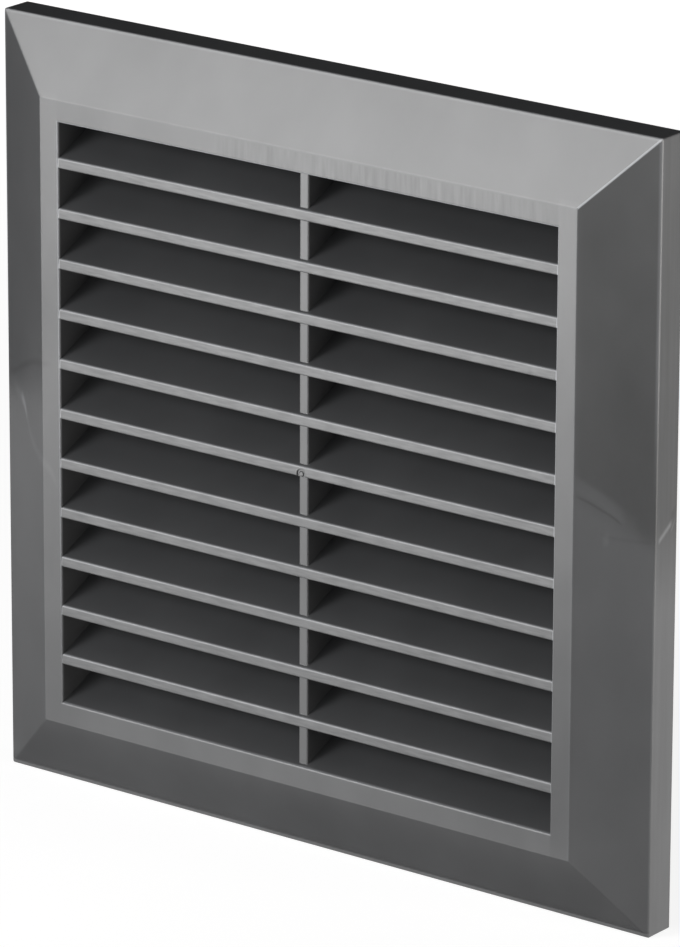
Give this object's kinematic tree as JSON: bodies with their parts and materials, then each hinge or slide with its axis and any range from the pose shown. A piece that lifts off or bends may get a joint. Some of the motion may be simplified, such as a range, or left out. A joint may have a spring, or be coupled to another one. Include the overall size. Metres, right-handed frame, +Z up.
{
  "type": "square louvred vent grille",
  "caption": "Square moulded wall vent grille: bevelled frame, flat border, fixed sloping slats crossed by a centre bar, and a shallow collar behind that enters a square duct opening.",
  "frame": {"origin": "middle of the square face, on the wall plane that the back of the rim lies on", "axes": "+Y into the wall, so the face looks along -Y; +Z up, so the slats rise to the back; X across the face"},
  "size_m": [0.165, 0.022, 0.165],
  "materials": {
    "graphite_plastic": "satin graphite grey with fine metallic pigment and faint moulding flow lines"
  },
  "bodies": {
    "root": {"vent_grille": "graphite_plastic"}
  },
  "joints": []
}
